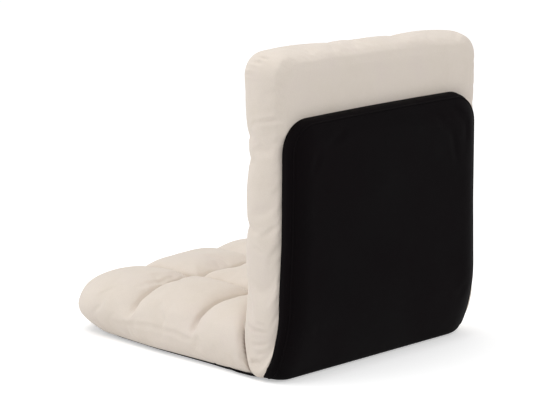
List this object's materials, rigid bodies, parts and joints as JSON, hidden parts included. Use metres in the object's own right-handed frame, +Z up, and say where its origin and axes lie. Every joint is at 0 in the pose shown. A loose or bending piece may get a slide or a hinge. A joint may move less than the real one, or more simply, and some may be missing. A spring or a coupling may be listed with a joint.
{
  "type": "folding floor chair",
  "caption": "Legless folding floor chair: tufted seat and back pads on two tube frames, joined by ratchet hinges that recline flat and fold forward.",
  "frame": {"origin": "on the floor, under the middle of the chair's box at rest", "axes": "+Z up, seat front towards -Y, width along X, the sitter's left at +X"},
  "size_m": [0.52, 0.576, 0.56],
  "materials": {
    "cream_cloth": "smooth brushed woven cloth, cream",
    "black_cloth": "smooth tightly woven cloth, black",
    "black_piping": "corded seam, black",
    "foam": "open-cell foam",
    "support_cloth": "coarse spunbonded cloth",
    "thread": "waxed thread",
    "painted_tube": "powder-coated steel tube",
    "hinge_steel": "black-coated stamped steel",
    "zinc_steel": "zinc-plated",
    "spring_steel": "blued spring steel",
    "washer_plastic": "moulded nylon"
  },
  "bodies": {
    "seat": {"crease_gusset": "cream_cloth", "heel_cover": "black_cloth", "left_hinge_inner_plate": "hinge_steel", "left_hinge_outer_plate": "hinge_steel", "left_hinge_washers": "washer_plastic", "left_pawl_pin": "zinc_steel", "left_pawl_spring": "spring_steel", "left_pivot_rivet": "zinc_steel", "left_spring_post": "zinc_steel", "right_hinge_inner_plate": "hinge_steel", "right_hinge_outer_plate": "hinge_steel", "right_hinge_washers": "washer_plastic", "right_pawl_pin": "zinc_steel", "right_pawl_spring": "spring_steel", "right_pivot_rivet": "zinc_steel", "right_spring_post": "zinc_steel", "seat_base_cover": "black_cloth", "seat_base_foam": "foam", "seat_cushion": "cream_cloth", "seat_foam": "foam", "seat_frame": "painted_tube", "seat_frame_rivets": "zinc_steel", "seat_middle_crossbar": "painted_tube", "seat_rear_crossbar": "painted_tube", "seat_support_sheet": "support_cloth", "seat_tuft_ties": "thread"},
    "back": {"back_cushion": "cream_cloth", "back_foam": "foam", "back_frame": "painted_tube", "back_frame_rivets": "zinc_steel", "back_lower_crossbar": "painted_tube", "back_panel_cover": "black_cloth", "back_panel_foam": "foam", "back_panel_piping": "black_piping", "back_support_sheet": "support_cloth", "back_tuft_ties": "thread", "back_upper_crossbar": "painted_tube", "left_gear_arm": "hinge_steel", "right_gear_arm": "hinge_steel"},
    "left_pawl": {"left_pawl": "hinge_steel"},
    "right_pawl": {"right_pawl": "hinge_steel"}
  },
  "joints": [
    {"name": "back_recline", "type": "hinge", "parent": "seat", "child": "back", "pos_m": [0, 0.227, 0.061], "axis": [-1, 0, 0], "range_deg": [-60, 90], "deforming": ["seat_cushion", "back_cushion", "heel_cover", "crease_gusset"]},
    {"name": "left_pawl_lift", "type": "hinge", "parent": "seat", "child": "left_pawl", "pos_m": [0, 0.19073, 0.05312], "axis": [-1, 0, 0], "range_deg": [-9, 3], "stiffness_Nm_per_rad": 0.3, "deforming": ["left_pawl_spring"]},
    {"name": "right_pawl_lift", "type": "hinge", "parent": "seat", "child": "right_pawl", "pos_m": [0, 0.19073, 0.05312], "axis": [-1, 0, 0], "range_deg": [-9, 3], "stiffness_Nm_per_rad": 0.3, "deforming": ["right_pawl_spring"]}
  ],
  "couplings": [
    {"joint": "right_pawl_lift", "follows": "left_pawl_lift", "ratio": 1}
  ]
}
